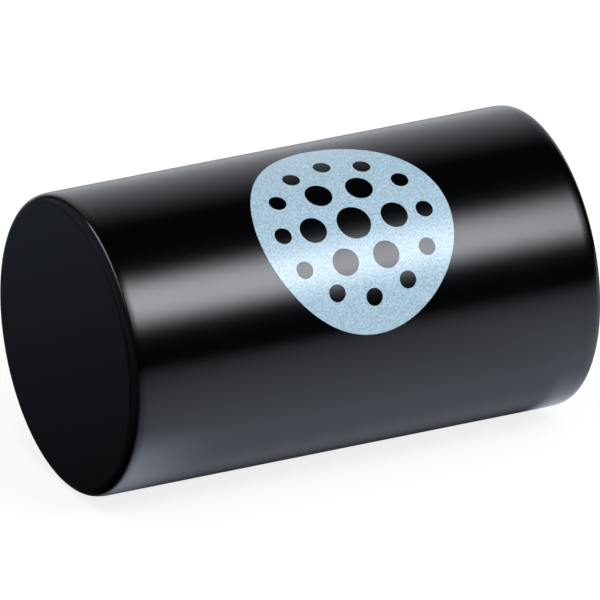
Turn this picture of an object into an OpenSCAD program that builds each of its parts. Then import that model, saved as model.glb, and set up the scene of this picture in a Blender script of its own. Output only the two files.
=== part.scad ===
// Ganza shaker: a closed metal tube with loose steel shot inside.
// It lies on its side. +X runs along the tube from the front end to the rear end, +Z is up, and
// the origin is on the surface that the tube lies on, under the middle of its length.

/* [Tube] */
// Outer diameter of the coated tube
tube_d = 47.7; // [42:0.1:60]
// Overall length, from end face to end face
tube_l = 81.4; // [70:0.2:120]
// Wall thickness
tube_wall = 1.6; // [1.2:0.1:2.5]
// Chamfer that stands for the rounded outer edge at each end
edge_chamfer = 0.9; // [0.2:0.1:1.1]

/* [End plugs] */
// Thickness of the plug that closes each end
plug_t = 3; // [2.4:0.1:5]
// Lead-in chamfer that starts the plug into the bore
plug_lead = 0.3; // [0.1:0.1:0.6]
// Width of the adhesive groove round the plug's rim
groove_w = 1.2; // [0.6:0.1:1.6]
// Depth of the adhesive groove
groove_depth = 0.5; // [0.3:0.1:1]
// Distance from the end face to the groove
groove_inset = 0.8; // [0.4:0.1:1]

/* [Print] */
// Diameter of the printed disc, seen straight on
print_d = 32.7; // [29:0.1:38]
// Thickness of the ink
print_t = 0.03; // [0.02:0.01:0.1]
// How far the disc's centre lies behind the middle of the tube
print_x = 1.6; // [-10:0.1:10]
// Turn of the disc from the top of the tube down its front side, in degrees
print_turn = 39.5; // [0:0.5:90]
// Diameter of the bare dot in the middle of the disc
centre_dot_d = 5.6; // [2:0.1:8]
// Number of bare dots in the inner ring
inner_dots = 6; // [3:1:8]
// Diameter of the inner ring's dots
inner_dot_d = 4.4; // [1:0.1:5]
// Radius of the inner ring
inner_ring_r = 7; // [6.4:0.1:8]
// Number of bare dots in the outer ring
outer_dots = 12; // [6:1:18]
// Diameter of the outer ring's dots
outer_dot_d = 2.8; // [1:0.1:3.4]
// Radius of the outer ring
outer_ring_r = 12.2; // [11.2:0.1:14]

/* [Shot] */
// Diameter of one pellet
pellet_d = 4.5; // [3.5:0.1:5]
// Gap between neighbouring pellets
pellet_gap = 0.1; // [0.05:0.05:0.3]
// Gap between the lowest pellets and the tube
wall_gap = 0.1; // [0.05:0.05:0.3]
// Pellets side by side in the lowest layer
floor_rows = 6; // [4:1:7]
// Pellets one behind another along a full parcel of shot
parcel_slices = 3; // [2:1:4]
// Gap between two parcels
parcel_gap = 0.4; // [0.2:0.1:1]

/* [Hidden] */
$fn = 96;

tube_r = tube_d / 2;
bore_r = tube_r - tube_wall;
half_l = tube_l / 2;

// How deep the shapes that cut the print start, below the lowest point of the ink they cut.
prism_root = 1;

// The shot lies along the bottom of the bore in layers that nest: each pellet of a layer sits
// in the hollow between four pellets of the layer below it.
pitch = pellet_d + pellet_gap;
floor_r = bore_r - wall_gap - pellet_d / 2;
shot_layers = 3;
// Rows are far enough apart for the innermost layer, whose circle is the smallest. One layer
// never rises by more than this over the one below it.
layer_rise = 0.65 * pitch;
row_angle = 2 * asin(pitch / 2 / (floor_r - (shot_layers - 1) * layer_rise));
// A nested pellet is half a pitch along the tube and half a row round it from its neighbours.
function nested_r(r) =
    r * cos(row_angle / 2) - sqrt(3 / 4 * pow(pitch, 2) - pow(r * sin(row_angle / 2), 2));
function layer_r(layer) = layer == 0 ? floor_r : nested_r(layer_r(layer - 1));

// The parcels of shot lie end to end, with the whole charge at the middle of the tube.
lead_slices = 1;
function parcel_l(slices) = (slices - 1) * pitch + pellet_d;
full_step = parcel_l(parcel_slices) + parcel_gap;
lead_step = parcel_l(lead_slices) + parcel_gap;
charge_l = 3 * full_step + lead_step - parcel_gap;
front_x = -charge_l / 2 + parcel_l(parcel_slices) / 2;
heap_x = front_x + full_step;
lead_x = heap_x + (full_step + lead_step) / 2;
rear_x = lead_x + (full_step + lead_step) / 2;

// Lays a shape that was drawn round +Z along the tube, so that its +Z becomes +X.
module along_tube(x = 0) {
    translate([x, 0, tube_r])
        rotate([0, 90, 0])
            children();
}

// Turns a shape round the tube's axis, away from straight up, towards the front side.
module round_tube(x, angle) {
    translate([x, 0, tube_r])
        rotate([angle, 0, 0])
            children();
}

module tube_shell() {
    color("#1b1d1e")
        along_tube()
            rotate_extrude()
                polygon([
                    [bore_r, -half_l],
                    [tube_r - edge_chamfer, -half_l],
                    [tube_r, -half_l + edge_chamfer],
                    [tube_r, half_l - edge_chamfer],
                    [tube_r - edge_chamfer, half_l],
                    [bore_r, half_l]
                ]);
}

// A plug with its outer face at zero and its inner face towards +Z.
module end_plug() {
    groove_end = groove_inset + groove_w;
    groove_r = bore_r - groove_depth;
    rotate_extrude()
        polygon([
            [0, 0],
            [bore_r, 0],
            [bore_r, groove_inset],
            [groove_r, groove_inset],
            [groove_r, groove_end],
            [bore_r, groove_end],
            [bore_r, plug_t - plug_lead],
            [bore_r - plug_lead, plug_t],
            [0, plug_t]
        ]);
}

// The adhesive fills the plug's groove out to the bore.
module bond_ring() {
    rotate_extrude()
        translate([bore_r - groove_depth, groove_inset])
            square([groove_depth, groove_w]);
}

module at_front_end() {
    along_tube(-half_l)
        children();
}

module at_rear_end() {
    along_tube(half_l)
        mirror([0, 0, 1])
            children();
}

module front_end_plug() {
    color("#1b1d1e")
        at_front_end()
            end_plug();
}

module rear_end_plug() {
    color("#1b1d1e")
        at_rear_end()
            end_plug();
}

module front_bond_ring() {
    color("#c9a14a")
        at_front_end()
            bond_ring();
}

module rear_bond_ring() {
    color("#c9a14a")
        at_rear_end()
            bond_ring();
}

// How far a round flat shape of diameter d dips into the tube before its rim reaches the surface.
function dip(d) = tube_r - sqrt(pow(tube_r, 2) - pow(d / 2, 2));

// A straight-sided prism from under the tube's surface out through the ink, at a place on the
// disc: along is measured along the tube, and down is measured round it from the disc's centre.
module print_prism(d, along = 0, down = 0) {
    root_r = tube_r - dip(d) - prism_root;
    round_tube(print_x + along, print_turn + down / tube_r * 180 / PI)
        translate([0, 0, root_r])
            cylinder(d = d, h = tube_r + 2 * print_t - root_r);
}

module dot_ring(count, ring_r, d) {
    for (i = [0 : count - 1])
        print_prism(d, ring_r * cos(i * 360 / count), ring_r * sin(i * 360 / count));
}

module printed_disc() {
    color("#b9d3e6")
        difference() {
            intersection() {
                along_tube()
                    cylinder(r = tube_r + print_t, h = tube_l, center = true);
                print_prism(print_d);
            }
            along_tube()
                cylinder(r = tube_r, h = tube_l + 1, center = true);
            print_prism(centre_dot_d);
            dot_ring(inner_dots, inner_ring_r, inner_dot_d);
            dot_ring(outer_dots, outer_ring_r, outer_dot_d);
        }
}

// A parcel of shot with its middle at x. Each layer has one row and one slice fewer than the
// layer below it.
module shot_parcel(x, slices) {
    color("#8f9396")
        for (layer = [0 : min(shot_layers, slices) - 1])
            for (row = [0 : floor_rows - 1 - layer])
                for (slice = [0 : slices - 1 - layer])
                    round_tube(
                        x + (slice - (slices - 1 - layer) / 2) * pitch,
                        (row - (floor_rows - 1 - layer) / 2) * row_angle
                    )
                        translate([0, 0, -layer_r(layer)])
                            sphere(d = pellet_d);
}

module shot_front() {
    shot_parcel(front_x, parcel_slices);
}

module shot_heap() {
    shot_parcel(heap_x, parcel_slices);
}

module shot_lead() {
    shot_parcel(lead_x, lead_slices);
}

module shot_rear() {
    shot_parcel(rear_x, parcel_slices);
}

tube_shell();
front_end_plug();
rear_end_plug();
front_bond_ring();
rear_bond_ring();
printed_disc();
shot_front();
shot_heap();
shot_lead();
shot_rear();
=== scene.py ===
"""Ganza shaker: a black coated tube with flush end plugs, a metallic printed disc and steel shot."""

import math

import bpy
from mathutils import Euler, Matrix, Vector


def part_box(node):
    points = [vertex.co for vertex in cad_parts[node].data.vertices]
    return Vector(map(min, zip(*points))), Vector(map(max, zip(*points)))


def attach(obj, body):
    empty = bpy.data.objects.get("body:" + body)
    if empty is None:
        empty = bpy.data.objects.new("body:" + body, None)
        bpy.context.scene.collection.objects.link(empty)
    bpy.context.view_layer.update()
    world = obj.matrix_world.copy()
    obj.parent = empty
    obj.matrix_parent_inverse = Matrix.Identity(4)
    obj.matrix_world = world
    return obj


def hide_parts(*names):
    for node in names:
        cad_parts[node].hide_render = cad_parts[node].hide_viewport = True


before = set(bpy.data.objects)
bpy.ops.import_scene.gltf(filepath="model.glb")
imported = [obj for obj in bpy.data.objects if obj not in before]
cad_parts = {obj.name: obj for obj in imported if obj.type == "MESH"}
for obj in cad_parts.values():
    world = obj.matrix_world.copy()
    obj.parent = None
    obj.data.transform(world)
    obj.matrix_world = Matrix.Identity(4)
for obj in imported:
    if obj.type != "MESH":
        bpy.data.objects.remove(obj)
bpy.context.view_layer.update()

MM = 0.001
SHELL = "shell"

# The tube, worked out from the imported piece
tube_low, tube_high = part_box("tube_shell")
tube_r = (tube_high.z - tube_low.z) / 2
half_l = (tube_high.x - tube_low.x) / 2
tube_centre = Vector((0, 0, tube_r))
wall = 1.6 * MM
bore_r = tube_r - wall
around = 256

# The tube's outer edges: a rounding, and before it a stretch that draws in a little
edge_round = 1.2 * MM
edge_steps = 8
crown_l = 1.2 * MM
crown_drop = 0.1 * MM
crown_steps = 4
# The crown's last slope goes on under the rounding, so the end face is drawn in further
end_drop = crown_drop * (1 + 2 * edge_round / crown_l)

# The end plugs
plug_low, plug_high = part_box("front_end_plug")
plug_t = plug_high.x - plug_low.x
plug_lead = 0.3 * MM
lead_steps = 3
groove_inset = 0.8 * MM
groove_w = 1.2 * MM
groove_depth = 0.5 * MM
# A ring of flat faces inside a plug's rim, which keeps the middle of its face evenly shaded
rim_ring = 2 * MM

# The printed disc
print_d = 32.7 * MM
print_x = 1.6 * MM
print_turn = math.radians(39.5)
print_t = 0.03 * MM
print_strips = 72
outline_steps = 24
# How far from the tube's axis the flat print starts, before it is laid on the tube
print_start = 1.2 * tube_r
centre_dot_d = 5.6 * MM
# Each ring of bare dots: how many, the ring's radius and a dot's diameter
dot_rings = ((6, 7 * MM, 4.4 * MM), (12, 12.2 * MM, 2.8 * MM))

# How near a point lies to a plane or a ring that it counts as being on
close = 0.01 * MM
# How near two points are to be merged
merge = 0.0005 * MM

# The camera, placed as the photograph was taken
camera_azimuth = math.radians(-26.9)
camera_elevation = math.radians(22.9)
camera_distance = 2.992
camera_lens = 1157.3
sensor = 36

# The set. The two large lamps stand at one distance from the tube's axis, and at one angle above
# the front horizon.
lamp_distance = 0.6
lamp_angle = 45.8
surround_r = 2.6
table_size = 4
table_gap = 0.05 * MM

# The table to the camera: its white, its glow, and the share that takes the shaker's shadow
board_white = (0.85, 0.85, 0.85)
table_glow = 1.18
shadow_share = 0.3

# The table's painted light and shade in reflections: where its painted light starts to fade in front
# of the shaker and how fast, and a slanted painted patch of light by the front end
fade_from = 40 * MM
fade_reach = 165 * MM
spill_centre = (-45.4 * MM, -21 * MM)
spill_reach = (10.5 * MM, 9 * MM)
spill_slant = 0.4
spill_peak = 1.25

# The light that comes from all round
plain_level = 0.48

# Light from the lamps, the cooler light of the glowing wall, and the cooler painted reflection light
# of the dark dome and the table
pale = (0.965, 0.995, 1.06)
neutral = (0.985, 1.0, 1.03)
wall_white = (0.94, 0.985, 1.085)
cool = (0.9, 0.98, 1.16)
cooler = (0.86, 1.0, 1.24)


# ---------------------------------------------------------------- modelling helpers


def deselect_all():
    bpy.ops.object.select_all(action="DESELECT")


def make_active(piece):
    deselect_all()
    piece.select_set(True)
    bpy.context.view_layer.objects.active = piece


def edit(piece):
    make_active(piece)
    bpy.ops.object.mode_set(mode="EDIT")


def leave_edit():
    bpy.ops.object.mode_set(mode="OBJECT")


def clear_selection(kind):
    """Starts a new selection of faces or edges, and leaves edit mode so that code can make it."""
    bpy.ops.mesh.select_mode(type=kind)
    bpy.ops.mesh.select_all(action="DESELECT")
    leave_edit()


def select_faces(piece, test):
    """Selects the faces whose centre and normal pass the test. The piece is in edit mode."""
    clear_selection("FACE")
    for face in piece.data.polygons:
        face.select = test(face.center, face.normal)
    bpy.ops.object.mode_set(mode="EDIT")


def select_edges(piece, test):
    """Selects the edges both of whose ends pass the test. The piece is in edit mode."""
    clear_selection("EDGE")
    corners = piece.data.vertices
    for edge in piece.data.edges:
        edge.select = all(test(corners[i].co) for i in edge.vertices)
    bpy.ops.object.mode_set(mode="EDIT")


def cut(place, direction):
    """Cuts new edges into the piece where a plane crosses it. The piece is in edit mode."""
    bpy.ops.mesh.select_all(action="SELECT")
    bpy.ops.mesh.bisect(plane_co=place, plane_no=direction)


def radius_at(co):
    return math.hypot(co.y, co.z - tube_r)


def faces_along(normal):
    """Whether a face looks along the tube, as the end faces do."""
    return abs(normal.x) > 0.999


def bar(name, radius, x_from, x_to):
    """A round bar along the tube's axis, placed in its mesh."""
    deselect_all()
    bpy.ops.mesh.primitive_cylinder_add(
        vertices=around,
        radius=radius,
        depth=abs(x_to - x_from),
        end_fill_type="NGON",
        location=((x_from + x_to) / 2, 0, tube_r),
        rotation=(0, math.pi / 2, 0),
    )
    piece = bpy.context.object
    piece.name = name
    piece.data.name = name
    bpy.ops.object.transform_apply(location=True, rotation=True, scale=True)
    return piece


def apply_modifier(piece, name):
    make_active(piece)
    bpy.ops.object.modifier_apply(modifier=name)


def close_and_orient(piece):
    edit(piece)
    bpy.ops.mesh.select_all(action="SELECT")
    bpy.ops.mesh.remove_doubles(threshold=merge)
    bpy.ops.mesh.normals_make_consistent(inside=False)
    leave_edit()


def smooth(piece, angle=35):
    """Smooth faces with crisp edges. The large faces keep their own normals."""
    make_active(piece)
    bpy.ops.object.shade_smooth_by_angle(angle=math.radians(angle))
    weighted = piece.modifiers.new("weighted", "WEIGHTED_NORMAL")
    weighted.keep_sharp = True
    apply_modifier(piece, "weighted")


def paint(piece, material):
    piece.data.materials.clear()
    piece.data.materials.append(material)


def finish_piece(piece, node, material, body=SHELL):
    paint(piece, material)
    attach(piece, body)
    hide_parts(node)


# ---------------------------------------------------------------- the pieces


def make_tube():
    """The coated tube: a straight bore, and outer edges that draw in a little and then round off."""
    tube = bar("coated_tube", tube_r, -half_l, half_l)
    edit(tube)
    crown_ends(tube)
    for side in (-1, 1):
        select_edges(tube, lambda co: side * co.x > half_l - close)
        bpy.ops.mesh.bevel(offset=edge_round, segments=edge_steps, profile=0.5, affect="EDGES")
    select_faces(tube, lambda co, normal: faces_along(normal))
    bpy.ops.mesh.inset(thickness=tube_r - end_drop - edge_round - bore_r)
    bpy.ops.mesh.delete(type="FACE")
    select_edges(tube, lambda co: abs(co.x) > half_l - close and radius_at(co) < bore_r + close)
    bpy.ops.mesh.bridge_edge_loops()
    leave_edit()
    close_and_orient(tube)
    smooth(tube)
    return tube


def crown_ends(tube):
    """The stretch before each edge draws in a little, as on a deburred and coated tube."""
    for side in (-1, 1):
        steps = range(crown_steps + 1)
        rings = [side * (half_l - edge_round - crown_l * (1 - step / crown_steps)) for step in steps]
        for x in rings:
            cut((x, 0, 0), (1, 0, 0))
        for step, x in zip(steps[1:], rings[1:]):
            shrink_ring(tube, x, crown_drop * (step / crown_steps) ** 2)
        shrink_ring(tube, side * half_l, end_drop)


def shrink_ring(tube, x, drop):
    """Draws in the ring of edges round the bar at x."""
    select_edges(tube, lambda co: abs(co.x - x) < close)
    factor = (tube_r - drop) / tube_r
    bpy.ops.transform.resize(value=(1, factor, factor), center_override=tube_centre)


def make_plug(name, side):
    """A flush plug with an adhesive groove round its rim. side is -1 at the front, 1 at the rear."""
    face_x = side * half_l
    inner_x = side * (half_l - plug_t)
    groove_x = side * (half_l - groove_inset - groove_w / 2)
    plug = bar(name, bore_r, face_x, inner_x)
    edit(plug)
    for depth in (groove_inset, groove_inset + groove_w):
        cut((side * (half_l - depth), 0, 0), (1, 0, 0))
    select_faces(plug, lambda co, normal: abs(normal.x) < 0.1 and abs(co.x - groove_x) < groove_w / 4)
    bpy.ops.mesh.extrude_region_shrink_fatten(TRANSFORM_OT_shrink_fatten={"value": -groove_depth})
    select_edges(plug, lambda co: abs(co.x - inner_x) < close)
    bpy.ops.mesh.bevel(offset=plug_lead, segments=lead_steps, profile=0.5, affect="EDGES")
    for x in (inner_x, face_x):
        select_faces(plug, lambda co, normal: faces_along(normal) and abs(co.x - x) < close)
        bpy.ops.mesh.inset(thickness=rim_ring)
    leave_edit()
    close_and_orient(plug)
    smooth(plug)
    return plug


def flat_circle(diameter, along=0, across=0, squeeze=1.0):
    """An outline of the flat print. along runs with the tube, across runs down round it, and
    squeeze makes it narrower that way, because laid on the curve it reaches further."""
    bpy.ops.curve.primitive_bezier_circle_add(radius=diameter / 2, location=(along, -across, 0))
    outline = bpy.context.object
    outline.scale = (1, squeeze, 1)
    outline.data.resolution_u = outline_steps
    return outline


def print_outlines():
    """The rim of the disc, the dot in its middle and the two rings of dots."""
    outlines = [flat_circle(print_d), flat_circle(centre_dot_d)]
    for count, ring_r, dot_d in dot_rings:
        for i in range(count):
            turn = 2 * math.pi * i / count
            tilt = ring_r * math.sin(turn) / tube_r
            across = tube_r * math.sin(tilt)
            outlines.append(flat_circle(dot_d, ring_r * math.cos(turn), across, math.cos(tilt)))
    return outlines


def make_print(tube):
    """The metallic print: a flat disc with bare dots, laid on the tube along one direction."""
    deselect_all()
    outlines = print_outlines()
    deselect_all()
    for outline in outlines:
        outline.select_set(True)
    bpy.context.view_layer.objects.active = outlines[0]
    bpy.ops.object.join()
    disc = bpy.context.object
    disc.name = "metallic_print"
    disc.data.dimensions = "2D"
    disc.data.fill_mode = "BOTH"
    bpy.ops.object.convert(target="MESH")
    disc = bpy.context.object
    disc.data.name = "metallic_print"
    edit(disc)
    bpy.ops.mesh.select_all(action="SELECT")
    bpy.ops.mesh.remove_doubles(threshold=merge)
    half_angle = math.asin(print_d / 2 / tube_r)
    for i in range(1, print_strips):
        tilt = half_angle * (2 * i / print_strips - 1)
        cut((0, tube_r * math.sin(tilt), 0), (0, 1, 0))
    leave_edit()
    disc.location = (0, 0, print_start)
    bpy.ops.object.transform_apply(location=True, rotation=False, scale=False)
    disc.rotation_euler = (print_turn, 0, 0)
    disc.location = (print_x, 0, tube_r)
    bpy.context.view_layer.update()
    wrap_print(disc, tube)
    return disc


def wrap_print(disc, tube):
    """Lays the flat disc on the tube and gives the ink its thickness."""
    wrap = disc.modifiers.new("wrap", "SHRINKWRAP")
    wrap.target = tube
    wrap.wrap_method = "PROJECT"
    wrap.use_project_z = True
    wrap.use_negative_direction = True
    wrap.use_positive_direction = False
    apply_modifier(disc, "wrap")
    bpy.ops.object.transform_apply(location=True, rotation=True, scale=True)
    film = disc.modifiers.new("film", "SOLIDIFY")
    film.thickness = print_t
    film.offset = 1
    apply_modifier(disc, "film")
    smooth(disc, angle=40)


# ---------------------------------------------------------------- node helpers

nodes_in_row = 8
node_step_x = 220
node_step_y = 260


def node(tree, kind, label="", **settings):
    """A new node. Nodes stand in rows, in the order in which they are made."""
    row, column = divmod(len(tree.nodes), nodes_in_row)
    made = tree.nodes.new(kind)
    made.location = (node_step_x * column, -node_step_y * row)
    made.label = label
    for key, value in settings.items():
        setattr(made, key, value)
    return made


def link(tree, source, target):
    tree.links.new(source, target)


def set_input(tree, socket, value):
    """Gives a socket a number, a colour or a link."""
    if isinstance(value, (int, float)):
        socket.default_value = value
    elif isinstance(value, tuple):
        socket.default_value = (*value, 1)
    else:
        link(tree, value, socket)


def math_node(tree, operation, first, second=None, label=""):
    made = node(tree, "ShaderNodeMath", label, operation=operation)
    set_input(tree, made.inputs[0], first)
    if second is not None:
        set_input(tree, made.inputs[1], second)
    return made.outputs[0]


def add(tree, first, second, label=""):
    return math_node(tree, "ADD", first, second, label)


def times(tree, first, second, label=""):
    return math_node(tree, "MULTIPLY", first, second, label)


def larger(tree, first, second, label=""):
    return math_node(tree, "MAXIMUM", first, second, label)


def fall_off(tree, value, label=""):
    """One where the value is nought, a third where it is one, and so on down."""
    return math_node(tree, "EXPONENT", times(tree, value, -1.0), None, label)


def map_range(tree, value, span, levels=(0.0, 1.0), label="", soft=True):
    """Turns a span of the value into a span of levels, and holds the last level outside it."""
    made = node(tree, "ShaderNodeMapRange", label)
    made.interpolation_type = "SMOOTHSTEP" if soft else "LINEAR"
    made.inputs["From Min"].default_value = span[0]
    made.inputs["From Max"].default_value = span[1]
    made.inputs["To Min"].default_value = levels[0]
    made.inputs["To Max"].default_value = levels[1]
    link(tree, value, made.inputs["Value"])
    return made.outputs[0]


def mix_colours(tree, factor, low, high, label=""):
    """The colour sockets of this node share their names with others, so they go by number."""
    mix = node(tree, "ShaderNodeMix", label, data_type="RGBA")
    set_input(tree, mix.inputs[6], low)
    set_input(tree, mix.inputs[7], high)
    link(tree, factor, mix.inputs[0])
    return mix.outputs[2]


def mix_shaders(tree, factor, first, second, label=""):
    mix = node(tree, "ShaderNodeMixShader", label)
    set_input(tree, mix.inputs[0], factor)
    link(tree, first, mix.inputs[1])
    link(tree, second, mix.inputs[2])
    return mix.outputs[0]


def glowing(tree, colour, strength):
    glow = node(tree, "ShaderNodeEmission")
    set_input(tree, glow.inputs["Color"], colour)
    set_input(tree, glow.inputs["Strength"], strength)
    return glow.outputs[0]


def empty_tree(owner):
    owner.use_nodes = True
    owner.node_tree.nodes.clear()
    return owner.node_tree


def own_axes(tree):
    """The x and y of the object's own coordinates."""
    place = node(tree, "ShaderNodeTexCoord")
    split = node(tree, "ShaderNodeSeparateXYZ")
    link(tree, place.outputs["Object"], split.inputs[0])
    return split.outputs["X"], split.outputs["Y"]


# ---------------------------------------------------------------- materials


def grain_group():
    """Fine grain and slow patches, used by the coat, the ink, the adhesive and the shot."""
    group = bpy.data.node_groups.new("fine_grain", "ShaderNodeTree")
    sockets = group.interface
    sockets.new_socket("Position", in_out="INPUT", socket_type="NodeSocketVector")
    for name, value in (("Grain Size", 0.2 * MM), ("Patch Size", 12 * MM), ("Seed", 0.0)):
        made = sockets.new_socket(name, in_out="INPUT", socket_type="NodeSocketFloat")
        made.default_value = value
    for name in ("Grain", "Patches"):
        sockets.new_socket(name, in_out="OUTPUT", socket_type="NodeSocketFloat")
    inside = node(group, "NodeGroupInput")
    outside = node(group, "NodeGroupOutput")
    for name, size, detail in (("Grain", "Grain Size", 2.0), ("Patches", "Patch Size", 4.0)):
        scale = math_node(group, "DIVIDE", 1.0, inside.outputs[size], "one over the size")
        texture = node(group, "ShaderNodeTexNoise", name, noise_dimensions="4D")
        texture.inputs["Detail"].default_value = detail
        link(group, inside.outputs["Position"], texture.inputs["Vector"])
        link(group, inside.outputs["Seed"], texture.inputs["W"])
        link(group, scale, texture.inputs["Scale"])
        link(group, texture.outputs["Fac"], outside.inputs[name])
    return group


def use_grain(tree, grain, grain_size, patch_size, seed):
    place = node(tree, "ShaderNodeTexCoord")
    made = node(tree, "ShaderNodeGroup", "fine grain", node_tree=grain)
    link(tree, place.outputs["Object"], made.inputs["Position"])
    made.inputs["Grain Size"].default_value = grain_size
    made.inputs["Patch Size"].default_value = patch_size
    made.inputs["Seed"].default_value = seed
    return made.outputs["Grain"], made.outputs["Patches"]


def add_relief(tree, surface, height, distance):
    bump = node(tree, "ShaderNodeBump", "surface relief")
    bump.inputs["Distance"].default_value = distance
    link(tree, height, bump.inputs["Height"])
    link(tree, bump.outputs["Normal"], surface.inputs["Normal"])


def make_finish(name, grain, sizes, seed, colours, gloss, relief, flaked=False, **inputs):
    """A finish whose colour and gloss change in slow patches or, where it is flaked, with the
    grain. sizes are the grain's and the patches', and relief is the grain's height."""
    material = bpy.data.materials.new(name)
    tree = empty_tree(material)
    output = node(tree, "ShaderNodeOutputMaterial")
    surface = node(tree, "ShaderNodeBsdfPrincipled")
    link(tree, surface.outputs["BSDF"], output.inputs["Surface"])
    fine, patches = use_grain(tree, grain, *sizes, seed)
    # Most of the noise lies between these two values
    change, span = patches, (0.3, 0.7)
    if flaked:
        change = map_range(tree, fine, span, label="flake", soft=False)
        span = (0.0, 1.0)
    link(tree, mix_colours(tree, change, *colours, "colour"), surface.inputs["Base Color"])
    link(tree, map_range(tree, change, span, gloss, "gloss"), surface.inputs["Roughness"])
    for key, value in inputs.items():
        surface.inputs[key.replace("_", " ")].default_value = value
    add_relief(tree, surface, fine, relief)
    return material


def black_coat(grain):
    """Satin black coat: nearly black, with a fine powder grain and slow changes of gloss."""
    return make_finish(
        "satin_black_coat",
        grain,
        sizes=(0.35 * MM, 14 * MM),
        seed=0.0,
        colours=((0.0002, 0.0003, 0.0004), (0.0005, 0.0006, 0.0007)),
        gloss=(0.165, 0.185),
        relief=0.002 * MM,
        IOR=1.5,
    )


def metallic_ink(grain):
    """Silver-blue screen ink: metal flake in a satin binder."""
    return make_finish(
        "metallic_ink",
        grain,
        sizes=(0.32 * MM, 6 * MM),
        seed=3.0,
        colours=((0.272, 0.392, 0.474), (0.505, 0.688, 0.787)),
        gloss=(0.4, 0.5),
        relief=0.006 * MM,
        flaked=True,
        Metallic=0.03,
        Specular_IOR_Level=0.1,
        Coat_Weight=0.92,
        Coat_Roughness=0.18,
        Coat_IOR=1.5,
    )


def amber_adhesive(grain):
    """Cured resin in the grooves of the plugs."""
    return make_finish(
        "amber_adhesive",
        grain,
        sizes=(0.4 * MM, 3 * MM),
        seed=5.0,
        colours=((0.42, 0.22, 0.03), (0.62, 0.40, 0.09)),
        gloss=(0.12, 0.3),
        relief=0.01 * MM,
        IOR=1.5,
    )


def steel_shot(grain):
    """Polished steel, a little rubbed."""
    return make_finish(
        "steel_shot",
        grain,
        sizes=(0.25 * MM, 2.5 * MM),
        seed=8.0,
        colours=((0.34, 0.35, 0.36), (0.52, 0.53, 0.54)),
        gloss=(0.18, 0.36),
        relief=0.004 * MM,
        Metallic=1.0,
    )


# ---------------------------------------------------------------- lamps and cloth


def stage_only(thing, name):
    """Part of the set that shows in reflections, and neither to the camera nor as a shadow."""
    thing.name = name
    thing.data.name = name
    thing.visible_camera = False
    thing.visible_shadow = False
    thing.visible_transmission = False


def glow_material(name, peak, reach, colour, power):
    """Light from a panel, brightest at its origin. reach is where it has faded to a third, and a
    higher power gives it a flatter middle with a shorter edge."""
    material = bpy.data.materials.new(name)
    tree = empty_tree(material)
    output = node(tree, "ShaderNodeOutputMaterial")
    axes = own_axes(tree)
    total = 0.0
    for axis in (0, 1):
        scaled = math_node(tree, "DIVIDE", axes[axis], reach[axis])
        size = math_node(tree, "ABSOLUTE", scaled)
        total = add(tree, math_node(tree, "POWER", size, power[axis]), total)
    strength = times(tree, fall_off(tree, total), peak, "peak")
    link(tree, glowing(tree, colour, strength), output.inputs["Surface"])
    return material


def softbox(name, centre, size, peak, reach, power=(2, 2), colour=(1, 1, 1), shift=0.0, turn=None):
    """A light panel that faces the shaker, unless it is given a turn of its own. shift moves the
    panel along its length, away from its bright spot."""
    deselect_all()
    bpy.ops.mesh.primitive_plane_add(size=1, location=(0, shift, 0))
    panel = bpy.context.object
    panel.scale = (*size, 1)
    bpy.ops.object.transform_apply(location=True, rotation=False, scale=True)
    panel.location = centre
    panel.rotation_mode = "QUATERNION"
    facing = (tube_centre - Vector(centre)).to_track_quat("Z", "Y")
    panel.rotation_quaternion = facing if turn is None else turn
    paint(panel, glow_material(name, peak, reach, colour, power))
    stage_only(panel, name)


def lamp_place(x):
    """A place round the tube's axis, at the lamps' height."""
    rise = math.radians(lamp_angle)
    return (x, -lamp_distance * math.cos(rise), tube_r + lamp_distance * math.sin(rise))


def make_lights():
    """The key above and in front, a smaller panel beside it that carries its light to the rear
    end, a narrow strip that draws the front rim, and a pale wall behind."""
    softbox(
        "key_softbox",
        centre=lamp_place(0.22),
        size=(0.62, 0.62),
        peak=9.5,
        reach=(0.157, 0.16),
        power=(2, 3),
        colour=pale,
    )
    softbox(
        "rear_kicker",
        centre=lamp_place(0.47),
        size=(0.24, 0.62),
        peak=6.5,
        reach=(0.085, 0.16),
        power=(2, 3),
        colour=pale,
    )
    softbox(
        "edge_strip",
        centre=(-0.108, 0.04, 0.487),
        size=(0.16, 0.788),
        peak=11.0,
        reach=(0.024, 0.36),
        shift=0.216,
        turn=Euler((math.pi, 0, math.radians(-11.4))).to_quaternion(),
    )
    softbox(
        "back_wall",
        centre=(1.0, 0.8, 0),
        size=(2.4, 4.6),
        peak=0.98,
        reach=(0.95, 0.98),
        power=(8, 2),
        colour=wall_white,
        turn=Vector((0, -1, 0)).to_track_quat("Z", "Y"),
    )


def painted_reflection_dome():
    """A dome over the whole set that glows with painted reflection light, dark on the right and dim on
    the left, seen only in reflections.
    """
    deselect_all()
    bpy.ops.mesh.primitive_uv_sphere_add(segments=48, ring_count=24, radius=surround_r)
    dome = bpy.context.object
    material = bpy.data.materials.new("painted_reflection_glow")
    tree = empty_tree(material)
    output = node(tree, "ShaderNodeOutputMaterial")
    x, y = own_axes(tree)
    left = map_range(tree, x, (0.3, -1.1), label="left")
    rear = map_range(tree, y, (-2.6, 0.6), (0.05, 0.24), "rear", soft=False)
    # Painted reflection light, dim on the left and dark on the right
    level = larger(tree, times(tree, left, rear), 0.004, "dim on the left")
    link(tree, glowing(tree, cool, level), output.inputs["Surface"])
    paint(dome, material)
    stage_only(dome, "painted_reflection_dome")
    # The dome's glow shows only in reflections and lights nothing
    dome.visible_diffuse = False


# ---------------------------------------------------------------- table and world


def soft_patch(tree, x, y, centre, reach):
    """A round painted patch of light that fades to a third at its reach."""
    squares = []
    for value, middle, size in zip((x, y), centre, reach):
        scaled = times(tree, math_node(tree, "SUBTRACT", value, middle), 1 / size)
        squares.append(times(tree, scaled, scaled))
    return fall_off(tree, add(tree, *squares))


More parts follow.
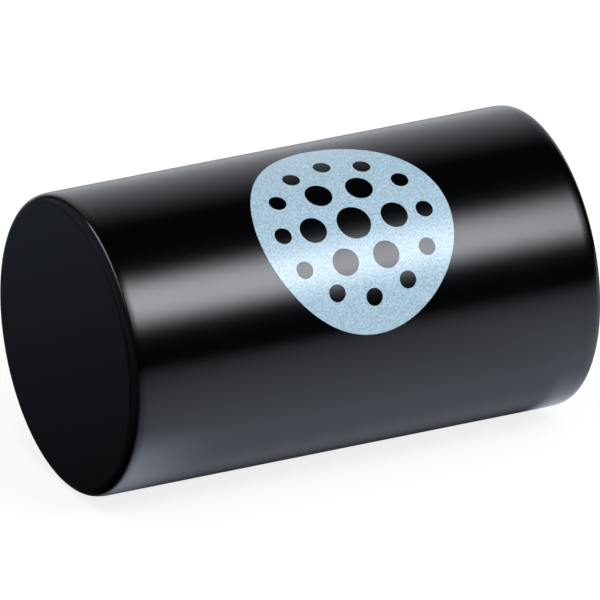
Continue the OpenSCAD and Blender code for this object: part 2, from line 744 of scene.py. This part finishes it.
def painted_light_in_front(tree, x, y, depth):
    """Painted light on the table in front of the shaker, as reflections see it: a painted shadow where
    they touch, and fading with distance.
    """
    # Painted shadow where the shaker touches the table, and painted light opening out in front of it
    contact = map_range(tree, depth, (7.8 * MM, 16.5 * MM), (0.05, 0.56), "contact")
    opening = map_range(tree, depth, (15 * MM, 29 * MM), (0.0, 0.47), "opens out")
    level = add(tree, contact, opening)
    rear_end = map_range(tree, x, (half_l - 6.5 * MM, half_l), (0.0, 0.92), "rear end")
    past_it = map_range(tree, x, (half_l + 3 * MM, half_l + 12 * MM), (1.0, 0.3), "past the rear end")
    level = larger(tree, level, times(tree, rear_end, past_it))
    lift = map_range(tree, x, (half_l - 5 * MM, half_l + 8 * MM), (0.0, 0.14), "lifted to the right")
    level = add(tree, level, lift)
    # A painted pool of light by the front end
    slanted = add(tree, x, times(tree, y, spill_slant))
    spill = soft_patch(tree, slanted, y, spill_centre, spill_reach)
    level = add(tree, level, times(tree, spill, spill_peak), "spill by the front end")
    distance = larger(tree, math_node(tree, "SUBTRACT", depth, fade_from), 0.0)
    fade = fall_off(tree, times(tree, distance, 1 / fade_reach), "fades with distance")
    in_front = map_range(tree, y, (-2 * MM, 15 * MM), (1.0, 0.0), "in front only")
    return times(tree, times(tree, level, fade), in_front)


def painted_light_behind(tree, y):
    """Painted light on the table behind the shaker, as reflections see it, which brightens in two slow
    steps.
    """
    near = map_range(tree, y, (55 * MM, 150 * MM), (0.0, 0.42), "behind")
    far = map_range(tree, y, (100 * MM, 450 * MM), (0.0, 0.42), "further behind")
    return add(tree, near, far)


def along_shaker(tree, x, depth):
    """One beside the shaker and nought past its front end, with a border that softens forward like the
    edge of a painted shadow.
    """
    reach = larger(tree, math_node(tree, "SUBTRACT", depth, 8 * MM), 1 * MM)
    inside = add(tree, x, half_l - 1 * MM)
    border = math_node(tree, "DIVIDE", inside, reach, "opens with distance")
    return map_range(tree, border, (-0.25, 0.5), label="beside the shaker")


def painted_light_past_front_end(tree, x, y):
    """Painted dim light on the table that the front end looks at, a little brighter to the back and
    further out.
    """
    backward = map_range(tree, y, (-5 * MM, 105 * MM), label="backward", soft=False)
    backward = math_node(tree, "POWER", backward, 1.3)
    dim = map_range(tree, backward, (0.0, 1.0), (0.03, 0.11), "dim table", soft=False)
    behind = map_range(tree, y, (-14 * MM, 0.0), label="behind the axis")
    ahead = math_node(tree, "SUBTRACT", 1.0, behind, "ahead of the axis")
    outward = map_range(tree, x, (-44 * MM, -80 * MM), (0.0, 0.08), "further out", soft=False)
    return add(tree, times(tree, dim, behind), times(tree, outward, ahead))


def painted_table_reflection(tree):
    """The table as reflections see it, in painted light and shade: lit in front and behind, dark by
    and under the shaker.
    """
    x, y = own_axes(tree)
    depth = times(tree, y, -1.0, "forward")
    beside = along_shaker(tree, x, depth)
    past = math_node(tree, "SUBTRACT", 1.0, beside, "past the front end")
    lit = larger(tree, painted_light_in_front(tree, x, y, depth), painted_light_behind(tree, y))
    lit = times(tree, lit, beside)
    lit = add(tree, lit, times(tree, painted_light_past_front_end(tree, x, y), past), "seen in reflections")
    tint = mix_colours(tree, past, cool, cooler, "cooler past the front end")
    back = map_range(tree, y, (0.0, 60 * MM), label="behind the shaker")
    tint = mix_colours(tree, times(tree, back, beside), tint, neutral, "neutral behind")
    return glowing(tree, tint, lit)


def table_material():
    """White table: white with the shaker's shadow to the camera, painted light and shade in
    reflections, and clear from below.
    """
    material = bpy.data.materials.new("white_table")
    tree = empty_tree(material)
    output = node(tree, "ShaderNodeOutputMaterial")
    white = glowing(tree, (1, 1, 1), table_glow)
    board = node(tree, "ShaderNodeBsdfDiffuse")
    set_input(tree, board.inputs["Color"], board_white)
    paper = mix_shaders(tree, shadow_share, white, board.outputs[0], "white with the shadow")
    path = node(tree, "ShaderNodeLightPath")
    sharp = larger(tree, path.outputs["Is Glossy Ray"], path.outputs["Is Transmission Ray"])
    # Glossy and transmission rays see the table's painted light and shade instead of its lit white
    table = mix_shaders(tree, sharp, board.outputs[0], painted_table_reflection(tree))
    table = mix_shaders(tree, path.outputs["Is Camera Ray"], table, paper)
    below = node(tree, "ShaderNodeNewGeometry")
    clear = node(tree, "ShaderNodeBsdfTransparent")
    table = mix_shaders(tree, below.outputs["Backfacing"], table, clear.outputs[0], "clear from below")
    link(tree, table, output.inputs["Surface"])
    return material


def make_table():
    deselect_all()
    bpy.ops.mesh.primitive_plane_add(size=table_size, location=(0, 0, -table_gap))
    table = bpy.context.object
    table.name = "table_top"
    bpy.ops.object.transform_apply(location=True, rotation=False, scale=False)
    paint(table, table_material())


def make_world():
    """White where the camera, metal or glass looks past the set, a plain level elsewhere."""
    world = bpy.data.worlds.new("studio")
    bpy.context.scene.world = world
    tree = empty_tree(world)
    output = node(tree, "ShaderNodeOutputWorld")
    sky = node(tree, "ShaderNodeBackground")
    path = node(tree, "ShaderNodeLightPath")
    seen = larger(tree, path.outputs["Is Camera Ray"], path.outputs["Is Glossy Ray"])
    seen = larger(tree, seen, path.outputs["Is Transmission Ray"])
    level = map_range(tree, seen, (0, 1), (plain_level, 1.0), "plain level or white", soft=False)
    set_input(tree, sky.inputs["Color"], (1, 1, 1))
    link(tree, level, sky.inputs["Strength"])
    link(tree, sky.outputs[0], output.inputs["Surface"])


def make_camera():
    data = bpy.data.cameras.new("photo_camera")
    data.sensor_width = sensor
    data.lens = camera_lens
    camera = bpy.data.objects.new("photo_camera", data)
    bpy.context.scene.collection.objects.link(camera)
    level = math.cos(camera_elevation)
    back = Vector(
        (
            math.sin(camera_azimuth) * level,
            -math.cos(camera_azimuth) * level,
            math.sin(camera_elevation),
        )
    )
    camera.location = tube_centre + back * camera_distance
    camera.rotation_mode = "QUATERNION"
    camera.rotation_quaternion = (-back).to_track_quat("-Z", "Y")
    bpy.context.scene.camera = camera


# ---------------------------------------------------------------- the scene

bpy.context.scene.view_settings.view_transform = "Standard"
make_camera()

grain = grain_group()
coat = black_coat(grain)
ink = metallic_ink(grain)
adhesive = amber_adhesive(grain)
shot = steel_shot(grain)

tube = make_tube()
printed = make_print(tube)
finish_piece(tube, "tube_shell", coat)
finish_piece(printed, "printed_disc", ink)
finish_piece(make_plug("front_plug", -1), "front_end_plug", coat)
finish_piece(make_plug("rear_plug", 1), "rear_end_plug", coat)

for name in ("front_bond_ring", "rear_bond_ring"):
    paint(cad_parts[name], adhesive)
for name in ("shot_front", "shot_heap", "shot_lead", "shot_rear"):
    paint(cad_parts[name], shot)

make_table()
painted_reflection_dome()
make_lights()
make_world()
